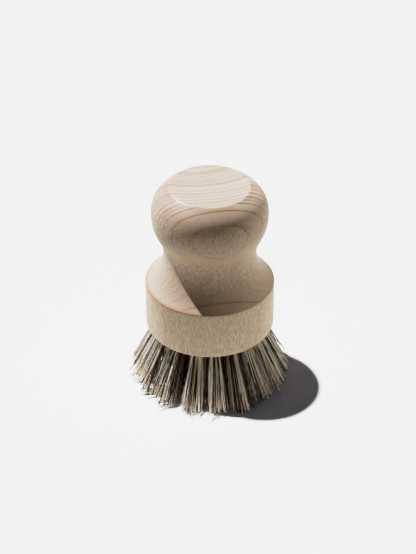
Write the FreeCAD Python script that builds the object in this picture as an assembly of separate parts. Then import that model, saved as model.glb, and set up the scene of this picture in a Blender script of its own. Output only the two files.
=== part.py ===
"""Round wooden pot brush: a turned beech stock set with rings of folded fibre tufts.

Origin at the centre of the plane of the cut bristle tips, +Z up through the knob, millimetres.
"""
import FreeCAD
import Part

import math
import os

from FreeCAD import Placement, Rotation, Vector

# Turned stock: radii, and heights above its drilled lower face
RIM_RADIUS = 29.0
RIM_HEIGHT = 23.2
WAIST_RADIUS = 20.8
WAIST_HEIGHT = 38.4
KNOB_RADIUS = 26.0
KNOB_HEIGHT = 58.4
TOP_FLAT_RADIUS = 17.5
STOCK_HEIGHT = 72.0
FOOT_ROUND = 1.6
SHOULDER_ROUND = 0.6

# Crown of the knob: it leaves the small round of the flat top at a lean; a higher fullness swells it
TOP_ROUND = 1.0
CROWN_LEAN = math.radians(32.0)
CROWN_FULLNESS = 1.1

# Tufts: one at the centre and rings of them round it, in holes that fan outwards
RINGS = ("inner", "outer")
BRISTLE_HEIGHT = 28.0
EDGE_MARGIN = 8.3
FAN_STEP = 5.8
TIP_GAP = 0.6
HOLE_RADIUS = 2.5
HOLE_WALL = 2.6
HOLE_DEPTH = 12.0
HOLE_RUN_OUT = 1.0
DRILL_POINT = math.radians(118.0)
FLARE_LEAD = 0.4

# Flat wire anchor driven across each hole, over the fold of the fibres
ANCHOR_THICKNESS = 0.4
ANCHOR_WIDTH = 2.0
ANCHOR_BITE = 0.4
FOLD_THICKNESS = 2.0

# Fits
ROOT_CLEARANCE = 0.05
ANCHOR_CLEARANCE = 0.02

# From ring to ring: the step between holes at the stock's face, and between tufts at the tips
HOLE_STEP = (RIM_RADIUS - EDGE_MARGIN) / len(RINGS)
TIP_STEP = HOLE_STEP + FAN_STEP

# Tufts in each ring, a hole and its wall apart or more, and the steps between their tips round it
HOLE_PITCH = 2 * HOLE_RADIUS + HOLE_WALL
RING_NUMBERS = range(1, len(RINGS) + 1)
RING_TUFTS = [math.floor(2 * math.pi * ring * HOLE_STEP / HOLE_PITCH) for ring in RING_NUMBERS]
TIP_PITCHES = [2 * ring * TIP_STEP * math.sin(math.pi / RING_TUFTS[ring - 1]) for ring in RING_NUMBERS]
ROOT_RADIUS = HOLE_RADIUS - ROOT_CLEARANCE
TIP_RADIUS = (min(TIP_STEP, *TIP_PITCHES) - TIP_GAP) / 2

# Depths below the hole's mouth: the drill point, and the round fold that sits in it
POINT_DEPTH = HOLE_DEPTH + HOLE_RADIUS / math.tan(DRILL_POINT / 2)
FOLD_DEPTH = POINT_DEPTH - HOLE_RADIUS / math.sin(DRILL_POINT / 2)
FOLD_BOTTOM = FOLD_DEPTH + ROOT_RADIUS


def revolved(edges):
    """Turn a closed outline in the XZ plane about the Z axis."""
    face = Part.Face(Part.Wire(edges))
    return face.revolve(Vector(0, 0, 0), Vector(0, 0, 1), 360)


def line(start, end):
    return Part.LineSegment(Vector(start[0], 0, start[1]), Vector(end[0], 0, end[1])).toShape()


def arc(centre, radius, start, end):
    """Arc between two angles, measured in the XZ plane from +X towards +Z."""
    points = []
    for angle in (start, (start + end) / 2, end):
        x = centre[0] + radius * math.cos(angle)
        z = centre[1] + radius * math.sin(angle)
        points.append(Vector(x, 0, z))
    return Part.Arc(*points).toShape()


def crown_curve(start, corner, end):
    """Conic from start to end, its tangents meeting at the corner."""
    curve = Part.BezierCurve()
    curve.setPoles([Vector(x, 0, z) for x, z in (start, corner, end)])
    curve.setWeight(2, CROWN_FULLNESS)
    return curve.toShape()


def turned_blank():
    """Rim, cove, waist and palm knob, turned in one piece."""
    foot = BRISTLE_HEIGHT
    waist = foot + WAIST_HEIGHT
    knob = foot + KNOB_HEIGHT
    top = foot + STOCK_HEIGHT

    # The cove runs from the shoulder edge, upright at the waist, into the knob's belly
    drop = WAIST_HEIGHT - RIM_HEIGHT
    flare = RIM_RADIUS - WAIST_RADIUS
    cove = (flare ** 2 + drop ** 2) / (2 * flare)
    cove_axis = WAIST_RADIUS + cove
    rise = KNOB_HEIGHT - WAIST_HEIGHT
    swell = KNOB_RADIUS - WAIST_RADIUS
    both = (swell ** 2 + rise ** 2) / (2 * swell)
    belly = both - cove
    lean = math.asin(rise / both)

    # The shoulder's small round touches the rim's wall and the cove
    edge_axis = RIM_RADIUS - SHOULDER_ROUND
    turn = math.acos((cove_axis - edge_axis) / (cove + SHOULDER_ROUND))
    edge = waist - (cove + SHOULDER_ROUND) * math.sin(turn)

    # The crown runs from the belly, upright, to the lip where the top's small round begins
    lip_radius = TOP_FLAT_RADIUS + TOP_ROUND * math.sin(CROWN_LEAN)
    lip = top - TOP_ROUND * (1 - math.cos(CROWN_LEAN))
    corner = lip - (KNOB_RADIUS - lip_radius) * math.tan(CROWN_LEAN)

    return revolved([
        line((0, foot), (RIM_RADIUS - FOOT_ROUND, foot)),
        arc((RIM_RADIUS - FOOT_ROUND, foot + FOOT_ROUND), FOOT_ROUND, -math.pi / 2, 0),
        line((RIM_RADIUS, foot + FOOT_ROUND), (RIM_RADIUS, edge)),
        arc((edge_axis, edge), SHOULDER_ROUND, 0, turn),
        arc((cove_axis, waist), cove, math.pi + turn, math.pi - lean),
        arc((KNOB_RADIUS - belly, knob), belly, -lean, 0),
        crown_curve((KNOB_RADIUS, knob), (KNOB_RADIUS, corner), (lip_radius, lip)),
        arc((TOP_FLAT_RADIUS, top - TOP_ROUND), TOP_ROUND, math.pi / 2 - CROWN_LEAN, math.pi / 2),
        line((TOP_FLAT_RADIUS, top), (0, top)),
        line((0, top), (0, foot)),
    ])


def tilt(ring):
    """Lean of a ring's holes from the vertical."""
    return math.atan(ring * FAN_STEP / BRISTLE_HEIGHT)


def seated(shape, ring, turn):
    """Move a shape from its own frame, +Z out of the hole from the mouth, to its hole."""
    lean = Rotation(Vector(0, 1, 0), 180 - math.degrees(tilt(ring)))
    placed = shape.copy()
    placed.Placement = Placement(Vector(ring * HOLE_STEP, 0, BRISTLE_HEIGHT), lean)
    placed.rotate(Vector(0, 0, 0), Vector(0, 0, 1), turn)
    return placed


def drilled_hole(ring):
    """Blind hole with a drill point, run out past the stock's face all round its leaning mouth."""
    out = HOLE_RADIUS * math.tan(tilt(ring)) + HOLE_RUN_OUT
    return revolved([
        line((0, -POINT_DEPTH), (HOLE_RADIUS, -HOLE_DEPTH)),
        line((HOLE_RADIUS, -HOLE_DEPTH), (HOLE_RADIUS, out)),
        line((HOLE_RADIUS, out), (0, out)),
        line((0, out), (0, -POINT_DEPTH)),
    ])


def anchor_wire(room):
    """Flat wire across the hole, with room left round it on every side."""
    thick = ANCHOR_THICKNESS + 2 * room
    wide = ANCHOR_WIDTH + 2 * room
    span = 2 * (HOLE_RADIUS + ANCHOR_BITE + room)
    seat = FOLD_THICKNESS - FOLD_BOTTOM - room
    return Part.makeBox(thick, span, wide, Vector(-thick / 2, -span / 2, seat))


def fibre_tuft(ring, turn):
    """Folded bundle of fibres: rounded fold, tight root, flared brush end cut level at the tips."""
    lean = tilt(ring)
    mouth = HOLE_RADIUS * math.tan(lean) + FLARE_LEAD
    reach = BRISTLE_HEIGHT / math.cos(lean)
    uncut = reach + 2 * TIP_RADIUS
    slope = (TIP_RADIUS - ROOT_RADIUS) / (reach - mouth)
    uncut_radius = ROOT_RADIUS + slope * (uncut - mouth)
    bundle = revolved([
        arc((0, -FOLD_DEPTH), ROOT_RADIUS, -math.pi / 2, 0),
        line((ROOT_RADIUS, -FOLD_DEPTH), (ROOT_RADIUS, mouth)),
        line((ROOT_RADIUS, mouth), (uncut_radius, uncut)),
        line((uncut_radius, uncut), (0, uncut)),
        line((0, uncut), (0, -FOLD_BOTTOM)),
    ])
    bundle = bundle.cut(anchor_wire(ANCHOR_CLEARANCE))
    tuft = seated(bundle, ring, turn)
    side = 4 * (RIM_RADIUS + BRISTLE_HEIGHT)
    trimmings = Part.makeBox(side, side, side, Vector(-side / 2, -side / 2, -side))
    return tuft.cut(trimmings).Solids[0]


def hole_layout():
    """Name, ring number and turn of every hole; those of a ring stand evenly round it."""
    holes = [("tuft_centre", 0, 0.0)]
    for ring, name, count in zip(RING_NUMBERS, RINGS, RING_TUFTS):
        for index in range(count):
            holes.append(("tuft_%s_%02d" % (name, index + 1), ring, 360.0 * index / count))
    return holes


def beech_stock(holes):
    """Turned blank, drilled for the tufts, with the slits that the anchors bite."""
    tools = []
    for _, ring, turn in holes:
        tools.append(seated(drilled_hole(ring), ring, turn))
        tools.append(seated(anchor_wire(ANCHOR_CLEARANCE), ring, turn))
    return turned_blank().cut(tools).Solids[0]


def main():
    os.makedirs("parts", exist_ok=True)
    holes = hole_layout()
    nodes = {"beech_stock": beech_stock(holes)}
    for name, ring, turn in holes:
        nodes[name] = fibre_tuft(ring, turn)
    anchors = [seated(anchor_wire(0), ring, turn) for _, ring, turn in holes]
    nodes["tuft_anchors"] = Part.makeCompound(anchors)
    for name, shape in nodes.items():
        shape.exportStep("parts/%s.step" % name)


main()
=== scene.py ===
"""Looks of a round wooden pot brush: turned beech, and tufts of folded plant fibres."""
import math
import random
from collections import namedtuple

import bpy
import numpy as np
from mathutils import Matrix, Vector


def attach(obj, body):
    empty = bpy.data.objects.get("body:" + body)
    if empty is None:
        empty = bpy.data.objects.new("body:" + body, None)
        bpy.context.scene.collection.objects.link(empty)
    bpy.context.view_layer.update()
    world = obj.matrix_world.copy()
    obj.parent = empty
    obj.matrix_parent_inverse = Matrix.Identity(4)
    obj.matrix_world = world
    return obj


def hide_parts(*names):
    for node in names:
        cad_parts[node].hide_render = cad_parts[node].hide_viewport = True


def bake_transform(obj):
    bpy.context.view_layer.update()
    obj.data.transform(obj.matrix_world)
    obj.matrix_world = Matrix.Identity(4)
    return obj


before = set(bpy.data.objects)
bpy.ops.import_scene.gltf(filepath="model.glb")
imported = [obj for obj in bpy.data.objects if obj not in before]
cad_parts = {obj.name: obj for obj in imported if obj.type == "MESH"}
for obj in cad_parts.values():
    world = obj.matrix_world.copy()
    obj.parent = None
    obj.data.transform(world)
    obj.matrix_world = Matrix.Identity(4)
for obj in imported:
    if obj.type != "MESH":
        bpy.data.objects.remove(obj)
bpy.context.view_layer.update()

MM = 0.001

# Holes and tufts as the stock has them, in millimetres; depths go from a hole's mouth into the wood
BRISTLE_HEIGHT = 28.0
HOLE_STEP = 10.35
FAN_STEP = 5.8
ROOT_RADIUS = 2.45
TIP_RADIUS = 5.63
FOLD_DEPTH = 10.58
ANCHOR_INNER_EDGE = 11.05
ANCHOR_HALF_THICKNESS = 0.22
RING_TUFTS = (("inner", 8), ("outer", 17))

# Edges of the turned stock, in millimetres
RIM_RADIUS = 29.0
SHOULDER_HEIGHT = 51.0
TOP_EDGE_RADIUS = 17.8
BRUSH_HEIGHT = 100.0

# Fibres of one tuft: folded in half over the anchor, so each shows two ends
FOLDED_FIBRES = 42
FIBRE_SIDES = 5
FREE_STEPS = 5
BEND_STEPS = 4

# Each kind of fibre, the pale ones first: share of the mix, thinnest and thickest radius in millimetres,
# darkest and palest colour, roughness, and how much the tone changes along a fibre
FibreKind = namedtuple("FibreKind", "share thin thick dark pale roughness blotch")
FIBRE_KINDS = {
    "bleached_tampico": FibreKind(0.38, 0.18, 0.30, "#D2C7A6", "#FFFDF4", 0.38, 0.5),
    "straw_tampico": FibreKind(0.16, 0.18, 0.28, "#9A8761", "#EFE3C2", 0.42, 0.5),
    "cinnamon_palmyra": FibreKind(0.15, 0.17, 0.28, "#4C3026", "#846250", 0.45, 0.4),
    "dark_bassine": FibreKind(0.31, 0.18, 0.34, "#140806", "#42261D", 0.40, 0.4),
}
PALE_KINDS = 2

# Pale fibres come and go in waves round the brush, and the right side has a few more
PALE_LEVEL = 1.05
PALE_SWING = 0.5
PALE_WAVES = 5.14
PALE_START = 4.9
PALE_RIGHT = 0.3
PALE_CHANCE = (0.8, 1.2)

# Roots, in millimetres: room left at the hole's wall and at the anchor, and the places tried for each
WALL_ROOM = 0.32
ANCHOR_ROOM = 0.2
ROOT_TRIES = 8

# Like fibres stand together: width of a clump in millimetres, its slant, and how far kinds mingle
CLUMP_WIDTHS = (0.7, 1.2)
CLUMP_SLANT = 0.8
MINGLING = 0.6

# Free ends, in millimetres: scatter of the tips, of a few strays more than of the others, and the bow
TIP_SCATTER = 0.75
STRAY_SCATTER = 2.6
STRAY_SHARE = 0.11
BOW = 0.4

# Heights of the cut tips over the floor, in millimetres: the least and the most, what a tuft's cut rises
# by at most, as a whole and as a slope outwards, what a tip rises by on average, and some were cut short
LEAST_HEIGHT = 0.3
MOST_HEIGHT = 10.0
TUFT_RISE = 0.9
TUFT_SLOPE = 0.45
TIP_RISE = 0.4
SHORT_RISES = (0.5, 4.5)
SHORT_SHARE = 0.14

# A fibre is a little uneven round its girth, and thinner at the tip
GIRTHS = (0.82, 1.12)
TIP_TAPER = 0.28

# Each fibre's strip of the texture, in shares: free margins beside and beyond its skin, and its cut ends
STRIP_MARGIN = 0.1
SKIN_MARGIN = 0.03
CUT_MIDDLE = 0.012
CUT_RADII = (0.4, 0.01)

# Starts of the random draws: the centre tuft, and the first of the rings
CENTRE_SEED = 11
RING_SEED = 101

# Camera: where the photograph was taken from, round a point near the brush's waist
VIEW_TARGET = Vector((-0.82, 0.0, 51.95)) * MM
VIEW_DISTANCE = 822.2 * MM
VIEW_ELEVATION = math.radians(34.69)
LENS = 118.8
SENSOR_WIDTH = 36.0

# A steep key from the left and behind on the paper, a lower one on the brush alone, and a soft fill on the
# brush from the right: direction to the lamp, its width in degrees, and whether the floor alone takes it
# (INCLUDE) or everything else (EXCLUDE)
Lamp = namedtuple("Lamp", "towards width strength tint floor_link")
LAMPS = {
    "paper_key": Lamp((-0.278, 0.142, 1.0), 1.4, 5.95, "#FFFFFF", "INCLUDE"),
    "brush_key": Lamp((-0.565, 0.45, 1.0), 1.4, 6.05, "#F3F2FF", "EXCLUDE"),
    "right_fill": Lamp((1.0, 0.5, 0.55), 70.0, 1.5, "#FFF5E6", "EXCLUDE"),
}

# The room's glow fades between these heights of the way looked, from 0 level to 1 straight up
GLOW_HEIGHTS = (0.04, 0.45)

# Floor in metres: the paper bounces light up only round the brush, all of it near and a share of it far
FLOOR_SIZE = 30.0
BOUNCE_NEAR = 0.060
BOUNCE_FAR = 0.21
FAR_BOUNCE = 0.08

# Tone curve of the print, scene light to picture light: deeper shade, and a soft shoulder up to white
WHITE_LIGHT = 3.0
TONE_CURVE = (
    (0.015, 0.006), (0.03, 0.016), (0.06, 0.042), (0.10, 0.08), (0.18, 0.155), (0.30, 0.275),
    (0.45, 0.43), (0.65, 0.60), (0.9, 0.72), (1.2, 0.81), (1.6, 0.888), (2.2, 0.96),
)

# Sockets of a mix, by number because several share a name: two colours and their mix, and two numbers
MIX_BASE, MIX_COAT, MIXED = 6, 7, 2
MIX_FROM, MIX_TO = 2, 3


def linear(hex_colour):
    """sRGB hex to the linear colour that shaders take."""
    channels = [int(hex_colour[i:i + 2], 16) / 255 for i in (1, 3, 5)]
    bent = [c / 12.92 if c <= 0.04045 else ((c + 0.055) / 1.055) ** 2.4 for c in channels]
    return (*bent, 1.0)


def grey(value):
    return (value, value, value, 1.0)


def per_metre(sizes):
    """Cells of a pattern in a metre, from its sizes in millimetres."""
    return tuple(1 / (size * MM) for size in sizes)


def add(tree, kind, values=None, links=None, stops=None, **settings):
    """Add a node with its settings, fixed values, colour stops and incoming links, which come from
    sockets or from the first output of nodes."""
    node = tree.nodes.new("ShaderNode" + kind)
    for name, value in settings.items():
        setattr(node, name, value)
    for key, value in (values or {}).items():
        node.inputs[key].default_value = value
    for key, source in (links or {}).items():
        socket = source.outputs[0] if isinstance(source, bpy.types.Node) else source
        tree.links.new(socket, node.inputs[key])
    if stops:
        ramp = node.color_ramp
        while len(ramp.elements) < len(stops):
            ramp.elements.new(1.0)
        for element, (position, colour) in zip(ramp.elements, stops):
            element.position = position
            element.color = colour
    return node


def new_material(name):
    """A material with only a principled shader, and its tree."""
    material = bpy.data.materials.new(name)
    material.use_nodes = True
    tree = material.node_tree
    tree.nodes.clear()
    shader = add(tree, "BsdfPrincipled")
    add(tree, "OutputMaterial", links={"Surface": shader})
    return material, tree, shader


# Growth layers of the beech, in millimetres: they curve round the heart of the trunk, behind the brush,
# lean with the height below the knob's top, wander slowly and swerve a little on the cove
HEART = (-8.3, 40.0)
LAYER_LEAN = -0.04
LEAN_START = 99.0
WANDER = (28.6, 28.6, 83.3)
WANDER_DEPTH = 1.2
COVE_SWERVE = -0.5
COVE_HEIGHTS = (54.0, 76.0)

# Years: depths of the lines of the wide years at the front, from the brush's axis towards the back, then
# narrow years at an even step, which good and lean seasons shift by half the swing at most, in years
FRONT_LINES = (-23.9, -19.65, -16.7)
YEAR_STEP = 1.75
NARROW_YEARS = 27
SEASON_YEARS = 1.25
SEASON_SWING = 1.6

# A growth line: how dark it is along its year, in shares, how vigour changes it from year to year, how
# much thinner it is in the wide years, and how bold at the front and, between two depths, at the back
LINE_FADE = ((0.0, 0.4), (0.06, 1.0), (0.22, 0.72), (0.42, 0.18), (0.70, 0.02), (1.0, 0.0))
LINE_VIGOUR = (0.5, 1.1)
WIDE_YEAR_THINNING = 2.0
FRONT_BOLDNESS = (1.2, 0.95)
BACK_DEPTHS = (4.0, 13.0)
BACK_BOLDNESS = (1.0, 1.9)

# Where the wood changes, in millimetres: heights between which the knob's lines come in, depths between
# which a painted shade turns the front layers browner, and stretches from left to right over which that
# painted shade and the painted glow of the shoulder's edge fade and the top's edge marks, partly painted
# shade, grow
KNOB_HEIGHTS = (62.0, 80.0)
FRONT_SHADE_DEPTHS = (-11.0, -23.0)
FRONT_SHADE_STRETCH = (-4.0, 18.0)
EDGE_GLOW_STRETCH = (-6.0, 4.0)
LIP_SHADE_STRETCH = (4.0, 13.0)

# Sizes of the wood's patterns, twice across the grain and along it, in millimetres
RAY_CELL = (0.40, 0.55, 2.0)
STREAK = (0.27, 0.27, 2.8)
CLOUD = (16.7, 16.7, 40.0)

# Side grain gives way to end grain between these upward leans of the cut, from 0 upright to 1 level
SIDE_GRAIN = (0.35, 0.85)

# Colours of the wood: two of the cream ground, a painted shade for the front layers, growth lines, flecks,
# the painted glow on the shoulder's edge, and the top's edge marks, partly painted shade
CREAM = ("#CFBB9F", "#DAC8AE")
FRONT_SHADE_BROWN = "#C0A280"
LINE_TAN = "#A27E60"
FLECK_BROWN = "#86623F"
EDGE_GLOW_ORANGE = "#B07D50"
LIP_MARK_AND_SHADE_BROWN = "#8E5C3A"

# What the streaks do to the wood's light: dark ones are warmer than the wood, and pale ones cooler; and
# what a painted sheen of light on the level top does to it: a little paler and cooler
DARK_STREAK = (0.75, 0.71, 0.64)
PALE_STREAK = (1.19, 1.23, 1.30)
PLAIN = (1.0, 1.0, 1.0)
TOP_SHEEN_TINT = (1.03, 1.05, 1.11)

# Sanded surface: its roughness, how much smoother the top's edge is, how deep the flecks are against the
# streaks, and the streaks' height in millimetres
SANDED = (0.44, 0.60)
EDGE_POLISH = 0.22
FLECK_SINK = 0.6
STREAK_HEIGHT = 0.05


def layer_depth(tree, metres, level, height):
    """How deep a point lies in the growth layers, front to back, in millimetres."""
    away = add(tree, "VectorMath", {1: (*HEART, 0.0)}, {0: level}, operation="DISTANCE")
    plain = add(tree, "Math", {0: math.hypot(*HEART)}, {1: away.outputs["Value"]}, operation="SUBTRACT")
    leaned = add(tree, "Math", {1: LAYER_LEAN}, {0: height, 2: plain}, operation="MULTIPLY_ADD")
    slow = add(tree, "VectorMath", {1: per_metre(WANDER)}, {0: metres}, operation="MULTIPLY")
    wander = add(tree, "TexNoise", {"Scale": 1.0, "Detail": 1.5}, {"Vector": slow})
    wound = add(tree, "Math", {1: WANDER_DEPTH, 2: -WANDER_DEPTH / 2 - LAYER_LEAN * LEAN_START},
                {0: wander.outputs["Fac"]}, operation="MULTIPLY_ADD")
    swerve = add(tree, "MapRange", {"From Min": COVE_HEIGHTS[0], "From Max": COVE_HEIGHTS[1],
                                    "To Min": COVE_SWERVE, "To Max": 0.0},
                 {"Value": height}, interpolation_type="SMOOTHSTEP")
    moved = add(tree, "Math", links={0: swerve, 1: wound}, operation="ADD")
    return add(tree, "Math", links={0: leaned, 1: moved}, operation="ADD")


def year_count(tree, depth):
    """Years from the front up to a depth: a few wide ones, then narrow ones of uneven width."""
    first, second, third = FRONT_LINES
    spans = ((2 * first - second, second, 2.0), (second, third, 1.0),
             (third, third + NARROW_YEARS * YEAR_STEP, NARROW_YEARS))
    front, middle, narrow = [
        add(tree, "MapRange", {"From Min": start, "From Max": end, "To Max": years}, {"Value": depth})
        for start, end, years in spans]
    wide = add(tree, "Math", links={0: front, 1: middle}, operation="ADD")
    season = add(tree, "TexNoise", {"Scale": 1 / SEASON_YEARS, "Detail": 1.0}, {"W": narrow},
                 noise_dimensions="1D")
    uneven = add(tree, "Math", {1: SEASON_SWING, 2: -SEASON_SWING / 2}, {0: season.outputs["Fac"]},
                 operation="MULTIPLY_ADD")
    begun = add(tree, "Math", {1: 1.0}, {0: narrow}, operation="MINIMUM")
    shifted = add(tree, "Math", links={0: uneven, 1: begun, 2: narrow}, operation="MULTIPLY_ADD")
    return add(tree, "Math", links={0: wide, 1: shifted}, operation="ADD")


def growth_lines(tree, depth):
    """Growth lines: each year starts dark at its line and fades to pale."""
    first, second, third = FRONT_LINES
    count = year_count(tree, depth)
    phase = add(tree, "Math", links={0: count}, operation="FRACT")
    thinning = add(tree, "MapRange", {"From Min": second, "From Max": third,
                                      "To Min": WIDE_YEAR_THINNING, "To Max": 1.0}, {"Value": depth})
    late = add(tree, "Math", links={0: phase, 1: thinning}, operation="MULTIPLY")
    fade = add(tree, "ValToRGB", links={"Fac": late}, stops=[(at, grey(dark)) for at, dark in LINE_FADE])
    year = add(tree, "Math", links={0: count}, operation="FLOOR")
    vigour = add(tree, "TexWhiteNoise", links={"W": year}, noise_dimensions="1D")
    strength = add(tree, "MapRange", {"To Min": LINE_VIGOUR[0], "To Max": LINE_VIGOUR[1]},
                   {"Value": vigour.outputs["Value"]})
    bold = add(tree, "MapRange", {"From Min": first, "From Max": second,
                                  "To Min": FRONT_BOLDNESS[0], "To Max": FRONT_BOLDNESS[1]},
               {"Value": depth})
    deep = add(tree, "MapRange", {"From Min": BACK_DEPTHS[0], "From Max": BACK_DEPTHS[1],
                                  "To Min": BACK_BOLDNESS[0], "To Max": BACK_BOLDNESS[1]},
               {"Value": depth})
    weight = add(tree, "Math", links={0: bold, 1: deep}, operation="MULTIPLY")
    strong = add(tree, "Math", links={0: strength, 1: weight}, operation="MULTIPLY")
    return add(tree, "Math", links={0: fade, 1: strong}, operation="MULTIPLY")


def lines_shown(tree, depth, height, upward, over_rim):
    """How much of the growth lines shows: most where the cut crosses the grain, and, below the knob and
    above the rim, most in the foremost layers."""
    first, second, _ = FRONT_LINES
    end_grain = add(tree, "MapRange", {"From Min": -0.1, "From Max": 0.7, "To Min": 0.42, "To Max": 1.0},
                    {"Value": upward})
    upper_part = add(tree, "MapRange", {"From Min": KNOB_HEIGHTS[0], "From Max": KNOB_HEIGHTS[1],
                                        "To Min": 0.35, "To Max": 1.0}, {"Value": height})
    fore_part = add(tree, "MapRange", {"From Min": first, "From Max": second, "To Min": 1.0, "To Max": 0.2},
                    {"Value": depth})
    fore_lines = add(tree, "Math", links={0: fore_part, 1: over_rim}, operation="MULTIPLY")
    marked = add(tree, "Math", links={0: upper_part, 1: fore_lines}, operation="MAXIMUM")
    return add(tree, "Math", links={0: end_grain, 1: marked}, operation="MULTIPLY")


def painted_front_shade(tree, depth, x, over_rim):
    """Share of a painted shade on the front layers, down to the shoulder: browner where the front lies in
    shade, and less so to the right."""
    front_shade = add(tree, "MapRange", {"From Min": FRONT_SHADE_DEPTHS[0], "From Max": FRONT_SHADE_DEPTHS[1],
                                   "To Max": 0.62}, {"Value": depth}, interpolation_type="SMOOTHSTEP")
    leftward = add(tree, "MapRange", {"From Min": FRONT_SHADE_STRETCH[0], "From Max": FRONT_SHADE_STRETCH[1],
                                      "To Min": 1.0, "To Max": 0.3}, {"Value": x})
    front_shade_to_left = add(tree, "Math", links={0: front_shade, 1: leftward}, operation="MULTIPLY")
    return add(tree, "Math", links={0: front_shade_to_left, 1: over_rim}, operation="MULTIPLY")


def ray_flecks(tree, metres):
    """Ray flecks: spindles along the grain, all drawn as wide as the broadest real ones, so that they
    still show at the size of the picture."""
    cells = add(tree, "VectorMath", {1: per_metre(RAY_CELL)}, {0: metres}, operation="MULTIPLY")
    rays = add(tree, "TexVoronoi", {"Scale": 1.0, "Randomness": 1.0}, {"Vector": cells})
    return add(tree, "ValToRGB", links={"Fac": rays.outputs["Distance"]},
               stops=[(0.18, grey(1.0)), (0.36, grey(0.0))])


def painted_edge_glow(tree, radius, height, x):
    """Painted warm glow of the light on the edge between the rim's wall and the cove, most of it on the lit
    left.
    """
    outer = add(tree, "MapRange", {"From Min": RIM_RADIUS - 1.4, "From Max": RIM_RADIUS - 0.4},
                {"Value": radius})
    upper = add(tree, "MapRange", {"From Min": SHOULDER_HEIGHT - 0.9, "From Max": SHOULDER_HEIGHT - 0.2},
                {"Value": height})
    edge = add(tree, "Math", links={0: outer, 1: upper}, operation="MULTIPLY")
    leftward = add(tree, "MapRange", {"From Min": EDGE_GLOW_STRETCH[0], "From Max": EDGE_GLOW_STRETCH[1],
                                      "To Min": 0.55, "To Max": 0.12}, {"Value": x})
    return add(tree, "Math", links={0: edge, 1: leftward}, operation="MULTIPLY")


def top_edge(tree, radius, height):
    """The edge of the flat top, from the flat out to the crown."""
    lip = add(tree, "MapRange", {"From Min": TOP_EDGE_RADIUS - 0.3, "From Max": TOP_EDGE_RADIUS + 0.5},
              {"Value": radius}, interpolation_type="SMOOTHSTEP")
    crown = add(tree, "MapRange", {"From Min": BRUSH_HEIGHT - 2.6, "From Max": BRUSH_HEIGHT - 1.0},
                {"Value": height}, interpolation_type="SMOOTHSTEP")
    return add(tree, "Math", links={0: lip, 1: crown}, operation="MULTIPLY")


def lip_marks_and_shade(tree, lines, lip, x):
    """Growth lines darkened where they cross the edge of the flat top, most of them on the right, where the
    crown lies in shade: partly the wood's own marks, partly painted shade.
    """
    shaded_right = add(tree, "MapRange", {"From Min": LIP_SHADE_STRETCH[0], "From Max": LIP_SHADE_STRETCH[1],
                                       "To Min": 0.12, "To Max": 0.9}, {"Value": x})
    marks = add(tree, "Math", links={0: lip, 1: shaded_right}, operation="MULTIPLY")
    return add(tree, "Math", links={0: marks, 1: lines}, operation="MULTIPLY")


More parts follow.
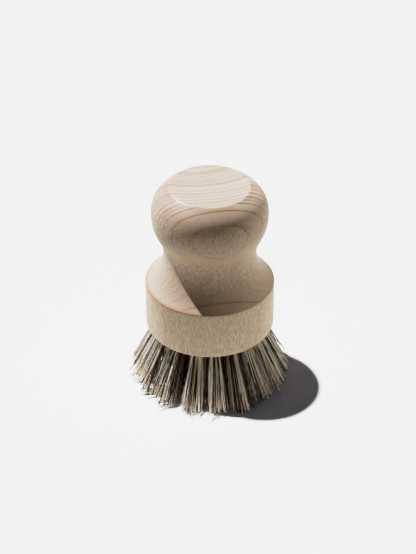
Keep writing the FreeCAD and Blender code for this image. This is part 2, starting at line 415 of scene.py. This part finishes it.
def turned_beech():
    """Turned and sanded beech: pale pinkish cream with thin tan growth lines, strong on the end grain
    on top and bent into arcs where the knob and the cove cut the layers, and dense short flecks
    along the grain on the upright faces; a painted shade darkens the front layers, a painted warm glow
    lights the shoulder's edge on the left, the top's edge has darker marks, partly painted shade, on
    the right, and a painted sheen makes the level top paler."""
    material, tree, shader = new_material("turned_beech")
    coords = add(tree, "TexCoord")
    metres = coords.outputs["Object"]
    place = add(tree, "VectorMath", {"Scale": 1 / MM}, {0: metres}, operation="SCALE")
    split = add(tree, "SeparateXYZ", links={0: place})
    x, height = split.outputs["X"], split.outputs["Z"]
    level = add(tree, "VectorMath", {1: (1.0, 1.0, 0.0)}, {0: place}, operation="MULTIPLY")
    radius = add(tree, "VectorMath", links={0: level}, operation="LENGTH").outputs["Value"]
    upward = add(tree, "SeparateXYZ", links={0: coords.outputs["Normal"]}).outputs["Z"]
    over_rim = add(tree, "MapRange", {"From Min": SHOULDER_HEIGHT - 2.0, "From Max": SHOULDER_HEIGHT + 1.0},
                   {"Value": height})
    depth = layer_depth(tree, metres, level, height)

    # Broad clouds of tone, and fine fibre streaks along the grain; the streaks are drawn a few times as
    # coarse as the real vessels, so that they show
    broad = add(tree, "VectorMath", {1: per_metre(CLOUD)}, {0: metres}, operation="MULTIPLY")
    clouds = add(tree, "TexNoise", {"Scale": 1.0, "Detail": 2.0}, {"Vector": broad})
    ground = add(tree, "ValToRGB", links={"Fac": clouds.outputs["Fac"]},
                 stops=[(0.30, linear(CREAM[0])), (0.70, linear(CREAM[1]))])
    fine = add(tree, "VectorMath", {1: per_metre(STREAK)}, {0: metres}, operation="MULTIPLY")
    streaks = add(tree, "TexNoise", {"Scale": 1.0, "Detail": 1.0, "Roughness": 0.5}, {"Vector": fine})

    # Coats of colour over the ground, each with its share
    lines = growth_lines(tree, depth)
    shown = lines_shown(tree, depth, height, upward, over_rim)
    rings = add(tree, "Math", links={0: lines, 1: shown}, operation="MULTIPLY")
    flecks = ray_flecks(tree, metres)
    side_grain = add(tree, "MapRange", {"From Min": SIDE_GRAIN[0], "From Max": SIDE_GRAIN[1],
                                        "To Min": 0.5, "To Max": 0.2}, {"Value": upward})
    side_flecks = add(tree, "Math", links={0: flecks, 1: side_grain}, operation="MULTIPLY")
    lip = top_edge(tree, radius, height)
    # The coats hold a painted shade on the front layers, a painted warm glow on the shoulder's edge and, on
    # the top's edge, growth lines darkened partly as painted shade
    coats = ((painted_front_shade(tree, depth, x, over_rim), FRONT_SHADE_BROWN), (rings, LINE_TAN),
             (side_flecks, FLECK_BROWN), (painted_edge_glow(tree, radius, height, x), EDGE_GLOW_ORANGE),
             (lip_marks_and_shade(tree, lines, lip, x), LIP_MARK_AND_SHADE_BROWN))
    colour = ground.outputs["Color"]
    for share, hex_colour in coats:
        coated = add(tree, "Mix", {MIX_COAT: linear(hex_colour)}, {0: share, MIX_BASE: colour},
                     data_type="RGBA")
        colour = coated.outputs[MIXED]

    # Tints over the coats: the streaks, calmer on the end grain, and a painted sheen that makes the level
    # top paler and cooler
    calm = add(tree, "MapRange", {"From Min": SIDE_GRAIN[0], "From Max": SIDE_GRAIN[1],
                                  "To Min": 1.0, "To Max": 0.5}, {"Value": upward})
    drawn = add(tree, "Mix", {MIX_FROM: 0.5}, {0: calm, MIX_TO: streaks.outputs["Fac"]})
    paler = add(tree, "MapRange", {"From Min": 0.31, "From Max": 0.69}, {"Value": drawn})
    top_sheen_share = add(tree, "MapRange", {"From Min": 0.9, "From Max": 1.0}, {"Value": upward})
    for share, low, high in ((paler, DARK_STREAK, PALE_STREAK), (top_sheen_share, PLAIN, TOP_SHEEN_TINT)):
        tint = add(tree, "Mix", {MIX_BASE: (*low, 1.0), MIX_COAT: (*high, 1.0)}, {0: share},
                   data_type="RGBA")
        tinted = add(tree, "VectorMath", links={0: colour, 1: tint.outputs[MIXED]}, operation="MULTIPLY")
        colour = tinted.outputs[0]
    tree.links.new(colour, shader.inputs["Base Color"])

    # Sanded to a dull sheen, smoother on the top's edge, with the flecks sunk a little
    rough = add(tree, "MapRange", {"To Min": SANDED[0], "To Max": SANDED[1]},
                {"Value": streaks.outputs["Fac"]})
    polish = add(tree, "Math", {1: -EDGE_POLISH}, {0: lip, 2: rough}, operation="MULTIPLY_ADD")
    tree.links.new(polish.outputs[0], shader.inputs["Roughness"])
    relief = add(tree, "Math", {1: -FLECK_SINK}, {0: flecks, 2: streaks.outputs["Fac"]},
                 operation="MULTIPLY_ADD")
    bump = add(tree, "Bump", {"Strength": 0.12, "Distance": STREAK_HEIGHT * MM}, {"Height": relief})
    tree.links.new(bump.outputs[0], shader.inputs["Normal"])
    shader.inputs["IOR"].default_value = 1.5
    return material


# Blotches of the fibres, across and along, in millimetres, and spangle of the zinc
BLOTCH = (1.667, 1.667, 6.25)
SPANGLE = (0.833, 0.833, 0.833)

# A fibre's tones, in shares: its darkest and palest colours are reached before the ends of the range; how
# its light grows from a painted shade at the root, in and near the hole, to the paler, drier tip; and how
# much its roughness varies
TONE_ENDS = (0.1, 0.7)
ROOT_SHADE_AND_DRYNESS = (0.86, 1.2)
ROUGHNESS_SPREAD = 0.08


def plant_fibre(name, kind):
    """Dried plant fibre: each fibre keeps its own tone between two colours, with blotches along it,
    a painted shade towards the root and a paler, drier end; a dull waxy sheen."""
    material, tree, shader = new_material(name)
    tone = add(tree, "Attribute", attribute_name="tone")
    along = add(tree, "Attribute", attribute_name="along")
    coords = add(tree, "TexCoord")
    cells = add(tree, "VectorMath", {1: per_metre(BLOTCH)}, {0: coords.outputs["Object"]},
                operation="MULTIPLY")
    patches = add(tree, "TexNoise", {"Scale": 1.0, "Detail": 2.0}, {"Vector": cells})
    stray = add(tree, "Math", {1: kind.blotch}, {0: patches.outputs["Fac"], 2: tone.outputs["Fac"]},
                operation="MULTIPLY_ADD")
    ends = [0.5 * kind.blotch + end for end in TONE_ENDS]
    mixed = add(tree, "ValToRGB", links={"Fac": stray},
                stops=[(ends[0], linear(kind.dark)), (ends[1], linear(kind.pale))])
    root_shade_and_dry = add(tree, "MapRange", {"To Min": ROOT_SHADE_AND_DRYNESS[0], "To Max": ROOT_SHADE_AND_DRYNESS[1]},
              {"Value": along.outputs["Fac"]})
    shaded = add(tree, "VectorMath", links={0: mixed, "Scale": root_shade_and_dry}, operation="SCALE")
    tree.links.new(shaded.outputs[0], shader.inputs["Base Color"])
    rough = add(tree, "MapRange", {"To Min": kind.roughness - ROUGHNESS_SPREAD,
                                   "To Max": kind.roughness + ROUGHNESS_SPREAD},
                {"Value": patches.outputs["Fac"]})
    tree.links.new(rough.outputs[0], shader.inputs["Roughness"])
    shader.inputs["IOR"].default_value = 1.5
    return material


def galvanised_wire():
    """Drawn steel wire with a zinc coat: dull grey with faint spangle."""
    material, tree, shader = new_material("galvanised_wire")
    coords = add(tree, "TexCoord")
    cells = add(tree, "VectorMath", {1: per_metre(SPANGLE)}, {0: coords.outputs["Object"]},
                operation="MULTIPLY")
    spangle = add(tree, "TexVoronoi", {"Scale": 1.0}, {"Vector": cells})
    tone = add(tree, "ValToRGB", links={"Fac": spangle.outputs["Distance"]},
               stops=[(0.0, linear("#A9ACAB")), (1.0, linear("#C6C8C5"))])
    tree.links.new(tone.outputs["Color"], shader.inputs["Base Color"])
    rough = add(tree, "MapRange", {"To Min": 0.3, "To Max": 0.5}, {"Value": spangle.outputs["Distance"]})
    tree.links.new(rough.outputs[0], shader.inputs["Roughness"])
    shader.inputs["Metallic"].default_value = 1.0
    return material


def pale_paper():
    """Pale studio paper, the same everywhere to the camera and in a sheen, that bounces warm light only
    round the brush."""
    material, tree, shader = new_material("pale_paper")
    coords = add(tree, "TexCoord")
    away = add(tree, "VectorMath", links={0: coords.outputs["Object"]}, operation="LENGTH")
    bounce = add(tree, "MapRange", {"From Min": BOUNCE_NEAR, "From Max": BOUNCE_FAR,
                                    "To Min": 1.0, "To Max": FAR_BOUNCE}, {"Value": away.outputs["Value"]})
    warm = add(tree, "VectorMath", {0: linear("#F3EBDE")[:3]}, {"Scale": bounce}, operation="SCALE")
    ray = add(tree, "LightPath")
    seen = add(tree, "Math", links={0: ray.outputs["Is Camera Ray"], 1: ray.outputs["Is Glossy Ray"]},
               operation="MAXIMUM")
    tone = add(tree, "Mix", {MIX_COAT: linear("#F1F0F1")}, {0: seen, MIX_BASE: warm}, data_type="RGBA")
    tree.links.new(tone.outputs[MIXED], shader.inputs["Base Color"])
    shader.inputs["Roughness"].default_value = 0.95
    shader.inputs["Specular IOR Level"].default_value = 0.1
    return material


def hole_axes(ring, turn):
    """The mouth of a hole in millimetres, its own axes (inwards, round the ring, and out) and its lean."""
    lean = math.atan(ring * FAN_STEP / BRISTLE_HEIGHT)
    out = np.array((math.cos(turn), math.sin(turn), 0.0))
    around = np.array((-math.sin(turn), math.cos(turn), 0.0))
    up = np.array((0.0, 0.0, 1.0))
    mouth = ring * HOLE_STEP * out + BRISTLE_HEIGHT * up
    inwards = -math.cos(lean) * out - math.sin(lean) * up
    outwards = math.sin(lean) * out - math.cos(lean) * up
    return mouth, np.stack((inwards, around, outwards)), lean


def root_places(dice):
    """Where the fibres' first legs stand in the hole, on one side of the anchor, evenly spread."""
    places = []
    while len(places) < FOLDED_FIBRES:
        best = None
        for _ in range(ROOT_TRIES):
            angle = dice.uniform(-math.pi / 2, math.pi / 2)
            radius = (ROOT_RADIUS - WALL_ROOM) * math.sqrt(dice.random())
            x = max(radius * math.cos(angle), ANCHOR_HALF_THICKNESS + ANCHOR_ROOM)
            spot = (x, radius * math.sin(angle))
            gap = min((math.dist(spot, other) for other in places), default=ROOT_RADIUS)
            if best is None or gap > best[0]:
                best = (gap, spot)
        places.append(best[1])
    return places


def pale_share(turn, dice):
    """How many times the usual share of pale fibres a tuft at this turn has."""
    wave = PALE_LEVEL + PALE_SWING * math.cos(PALE_WAVES * turn - PALE_START)
    return dice.uniform(*PALE_CHANCE) * wave * (1.0 + PALE_RIGHT * max(math.cos(turn), 0.0))


def sort_kinds(places, pale, dice):
    """Kind of each fibre: the kinds keep their shares in the tuft, and like fibres stand together."""
    clump = dice.uniform(*CLUMP_WIDTHS)
    start = dice.uniform(0, 2 * math.pi)
    slant = dice.uniform(-CLUMP_SLANT, CLUMP_SLANT)
    darkness = [math.sin((y + slant * x) * math.pi / clump + start) + dice.gauss(0, MINGLING)
                for x, y in places]
    order = sorted(range(len(places)), key=lambda index: darkness[index])
    shares = np.array([kind.share for kind in FIBRE_KINDS.values()])
    shares[:PALE_KINDS] *= pale
    ends = np.cumsum(shares / shares.sum()) * len(places)
    kinds = [0] * len(places)
    for rank, index in enumerate(order):
        kinds[index] = int(np.searchsorted(ends, rank, side="right"))
    return kinds


def fibre_end(x, y, lean, rise, slope, dice):
    """Path of one free end from the hole's mouth to its cut tip, in the hole's own axes."""
    scatter = STRAY_SCATTER if dice.random() < STRAY_SHARE else TIP_SCATTER
    spread = TIP_RADIUS / ROOT_RADIUS
    tip_x = x * spread + dice.gauss(0, scatter)
    tip_y = y * spread + dice.gauss(0, scatter)
    ragged = dice.expovariate(1 / TIP_RISE)
    if dice.random() < SHORT_SHARE:
        ragged += dice.uniform(*SHORT_RISES)
    height = min(LEAST_HEIGHT + rise + slope * max(-tip_x, 0.0) + ragged, MOST_HEIGHT)
    reach = (BRISTLE_HEIGHT - height - tip_x * math.sin(lean)) / math.cos(lean)
    bow_x, bow_y = dice.gauss(0, BOW), dice.gauss(0, BOW)
    points = []
    for step in range(FREE_STEPS + 1):
        t = step / FREE_STEPS
        sway = math.sin(math.pi * t)
        points.append((x + (tip_x - x) * t + bow_x * sway, y + (tip_y - y) * t + bow_y * sway, reach * t))
    return points


def folded_fibre(x, y, radius, lean, rise, slope, dice):
    """Path of a whole fibre: from one tip into the hole, round behind the anchor, and out to the other
    tip. Gives the points and, for each, how far out of the hole it lies, from 0 to 1."""
    first = fibre_end(x, y, lean, rise, slope, dice)
    second = fibre_end(-x, y, lean, rise, slope, dice)
    least = ANCHOR_INNER_EDGE - FOLD_DEPTH + radius
    most = max(math.sqrt(max(ROOT_RADIUS ** 2 - y ** 2, 0.0)) - radius, least)
    sag = least + (most - least) * min(x / ROOT_RADIUS, 1.0)
    bend = []
    for step in range(BEND_STEPS + 1):
        angle = math.pi * step / BEND_STEPS
        bend.append((x * math.cos(angle), y, -FOLD_DEPTH - sag * math.sin(angle)))
    points = first[::-1] + bend + second
    free = [step / FREE_STEPS for step in range(FREE_STEPS + 1)]
    along = free[::-1] + [0.0] * len(bend) + free
    return np.array(points), np.array(along)


def fibre_tube(path, along, radius, dice):
    """Skin of one fibre: rings of points round its path, a little uneven, thinner towards the tips."""
    tangent = np.gradient(path, axis=0)
    tangent /= np.linalg.norm(tangent, axis=1)[:, None]
    across = np.array((0.0, 1.0, 0.0)) - tangent[:, 1:2] * tangent
    across /= np.linalg.norm(across, axis=1)[:, None]
    other = np.cross(tangent, across)
    angles = np.linspace(0, 2 * math.pi, FIBRE_SIDES, endpoint=False) + dice.uniform(0, 1)
    girth = radius * np.array([dice.uniform(*GIRTHS) for _ in angles])
    taper = 1.0 - TIP_TAPER * along
    round_x = (np.cos(angles) * girth)[None, :, None] * across[:, None, :]
    round_y = (np.sin(angles) * girth)[None, :, None] * other[:, None, :]
    return path[:, None, :] + (round_x + round_y) * taper[:, None, None]


def fibre_faces(rows, strip):
    """Faces of one fibre's skin with its two cut ends, and their places on a strip of the texture."""
    faces, map_places = [], []
    left = (strip + STRIP_MARGIN) / FOLDED_FIBRES
    wide = (1 - 2 * STRIP_MARGIN) / FOLDED_FIBRES
    edges = [left + wide * side / FIBRE_SIDES for side in range(FIBRE_SIDES + 1)]
    heights = [SKIN_MARGIN + (1 - 2 * SKIN_MARGIN) * row / (rows - 1) for row in range(rows)]
    sides = range(FIBRE_SIDES)
    for row in range(rows - 1):
        low, high = heights[row], heights[row + 1]
        for side in sides:
            a = row * FIBRE_SIDES + side
            b = row * FIBRE_SIDES + (side + 1) % FIBRE_SIDES
            faces.append((a, b, b + FIBRE_SIDES, a + FIBRE_SIDES))
            u, v = edges[side], edges[side + 1]
            map_places += [(u, low), (v, low), (v, high), (u, high)]
    last = (rows - 1) * FIBRE_SIDES
    faces.append(tuple(reversed(sides)))
    faces.append(tuple(last + side for side in sides))
    for middle in (CUT_MIDDLE, 1 - CUT_MIDDLE):
        for side in sides:
            turn = 2 * math.pi * side / FIBRE_SIDES
            u = left + wide * (0.5 + CUT_RADII[0] * math.cos(turn))
            map_places.append((u, middle + CUT_RADII[1] * math.sin(turn)))
    return faces, map_places


def tuft(name, ring, turn, seed, materials):
    """One tuft as a single mesh of folded fibres, clumped by kind. Gives it with its hole's mouth and the
    way out of the hole."""
    dice = random.Random(seed)
    mouth, axes, lean = hole_axes(ring, turn)
    rise = dice.uniform(0.0, TUFT_RISE) if ring else 0.0
    slope = dice.uniform(0.0, TUFT_SLOPE) if ring == len(RING_TUFTS) else 0.0
    pale = pale_share(turn, dice)
    recipes = list(FIBRE_KINDS.values())
    points, faces, slots, tones, outs, map_places = [], [], [], [], [], []
    places = root_places(dice)
    for strip, ((x, y), kind) in enumerate(zip(places, sort_kinds(places, pale, dice))):
        radius = dice.uniform(recipes[kind].thin, recipes[kind].thick)
        path, along = folded_fibre(x, y, radius, lean, rise, slope, dice)
        rings = fibre_tube(path, along, radius, dice)
        skin, spots = fibre_faces(len(rings), strip)
        base = len(points)
        points.extend(mouth + rings.reshape(-1, 3) @ axes)
        faces.extend(tuple(base + corner for corner in face) for face in skin)
        slots.extend([kind] * len(skin))
        map_places.extend(spots)
        tones.extend([dice.random()] * len(rings) * FIBRE_SIDES)
        outs.extend(np.repeat(along, FIBRE_SIDES))
    mesh = bpy.data.meshes.new(name)
    mesh.from_pydata([tuple(point * MM) for point in points], [], faces)
    for material in materials:
        mesh.materials.append(material)
    mesh.polygons.foreach_set("material_index", slots)
    mesh.polygons.foreach_set("use_smooth", [len(face) == 4 for face in faces])
    mesh.attributes.new("tone", "FLOAT", "POINT").data.foreach_set("value", tones)
    mesh.attributes.new("along", "FLOAT", "POINT").data.foreach_set("value", outs)
    mesh.uv_layers.new(name="OFBake").uv.foreach_set("vector", np.array(map_places).ravel())
    mesh.update()
    piece = bpy.data.objects.new(name, mesh)
    bpy.context.scene.collection.objects.link(piece)
    return piece, Vector(mouth * MM), Vector(axes[2])


def set_tufts():
    """Every tuft in its hole; the centre tuft goes with the stock, the others stand at their holes."""
    materials = [plant_fibre(name, kind) for name, kind in FIBRE_KINDS.items()]
    centre, _, _ = tuft("fibres_centre", 0, 0.0, CENTRE_SEED, materials)
    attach(centre, "stock")
    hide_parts("tuft_centre")
    seed = RING_SEED
    for ring, (name, count) in enumerate(RING_TUFTS, start=1):
        for index in range(count):
            tag = "%s_%02d" % (name, index + 1)
            piece, mouth, out = tuft("fibres_" + tag, ring, 2 * math.pi * index / count, seed, materials)
            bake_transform(piece)
            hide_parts("tuft_" + tag)
            seed += 1


def dress(node, material):
    """Give a construction node its finish."""
    node.data.materials.clear()
    node.data.materials.append(material)


def paper_floor():
    """Pale paper under the brush."""
    bpy.ops.mesh.primitive_plane_add(size=FLOOR_SIZE)
    floor = bpy.context.object
    floor.name = "floor"
    floor.data.materials.append(pale_paper())
    return floor


def hang_lamp(name, recipe, floor):
    """Distant lamp that lights only the floor, or everything but the floor."""
    lamp = bpy.data.lights.new(name, "SUN")
    lamp.energy = recipe.strength
    lamp.color = linear(recipe.tint)[:3]
    lamp.angle = math.radians(recipe.width)
    holder = bpy.data.objects.new(name, lamp)
    holder.rotation_euler = Vector(recipe.towards).to_track_quat("Z", "Y").to_euler()
    bpy.context.scene.collection.objects.link(holder)
    lit = bpy.data.collections.new(name + "_floor")
    lit.objects.link(floor)
    lit.collection_objects[0].light_linking.link_state = recipe.floor_link
    holder.light_linking.receiver_collection = lit


def room():
    """Dim room: dark above, a faint glow near the horizon.
    The camera itself sees plain pale paper all round."""
    world = bpy.data.worlds.new("room")
    bpy.context.scene.world = world
    world.use_nodes = True
    tree = world.node_tree
    tree.nodes.clear()
    coords = add(tree, "TexCoord")
    way = add(tree, "SeparateXYZ", links={0: coords.outputs["Generated"]})
    low = add(tree, "MapRange", {"From Min": GLOW_HEIGHTS[0], "From Max": GLOW_HEIGHTS[1],
                                 "To Min": 1.0, "To Max": 0.0},
              {"Value": way.outputs["Z"]}, interpolation_type="SMOOTHSTEP")
    glow = add(tree, "Mix", {MIX_BASE: linear("#3F4450"), MIX_COAT: linear("#6A6B70")}, {0: low},
               data_type="RGBA")
    light = add(tree, "Background", {"Strength": 1.0}, {"Color": glow.outputs[MIXED]})
    paper = add(tree, "Background", {"Color": linear("#F3F1F2"), "Strength": 1.0})
    seen = add(tree, "LightPath").outputs["Is Camera Ray"]
    both = add(tree, "MixShader", links={0: seen, 1: light, 2: paper})
    add(tree, "OutputWorld", links={"Surface": both})


def set_camera():
    """The camera, where the photograph was taken from."""
    camera = bpy.data.cameras.new("camera")
    camera.lens = LENS
    camera.sensor_width = SENSOR_WIDTH
    camera.clip_start = 10 * MM
    holder = bpy.data.objects.new("camera", camera)
    back = Vector((0.0, -math.cos(VIEW_ELEVATION), math.sin(VIEW_ELEVATION)))
    holder.location = VIEW_TARGET + back * VIEW_DISTANCE
    holder.rotation_euler = back.to_track_quat("Z", "Y").to_euler()
    bpy.context.scene.collection.objects.link(holder)
    bpy.context.scene.camera = holder


def set_print():
    """Tones of the print."""
    view = bpy.context.scene.view_settings
    view.view_transform = "Standard"
    view.use_curve_mapping = True
    view.curve_mapping.white_level = (WHITE_LIGHT, WHITE_LIGHT, WHITE_LIGHT)
    for light, print_tone in TONE_CURVE:
        view.curve_mapping.curves[3].points.new(light / WHITE_LIGHT, print_tone)
    view.curve_mapping.update()


def build():
    dress(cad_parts["beech_stock"], turned_beech())
    dress(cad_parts["tuft_anchors"], galvanised_wire())
    set_tufts()
    floor = paper_floor()
    for name, recipe in LAMPS.items():
        hang_lamp(name, recipe, floor)
    room()
    set_camera()
    set_print()


build()
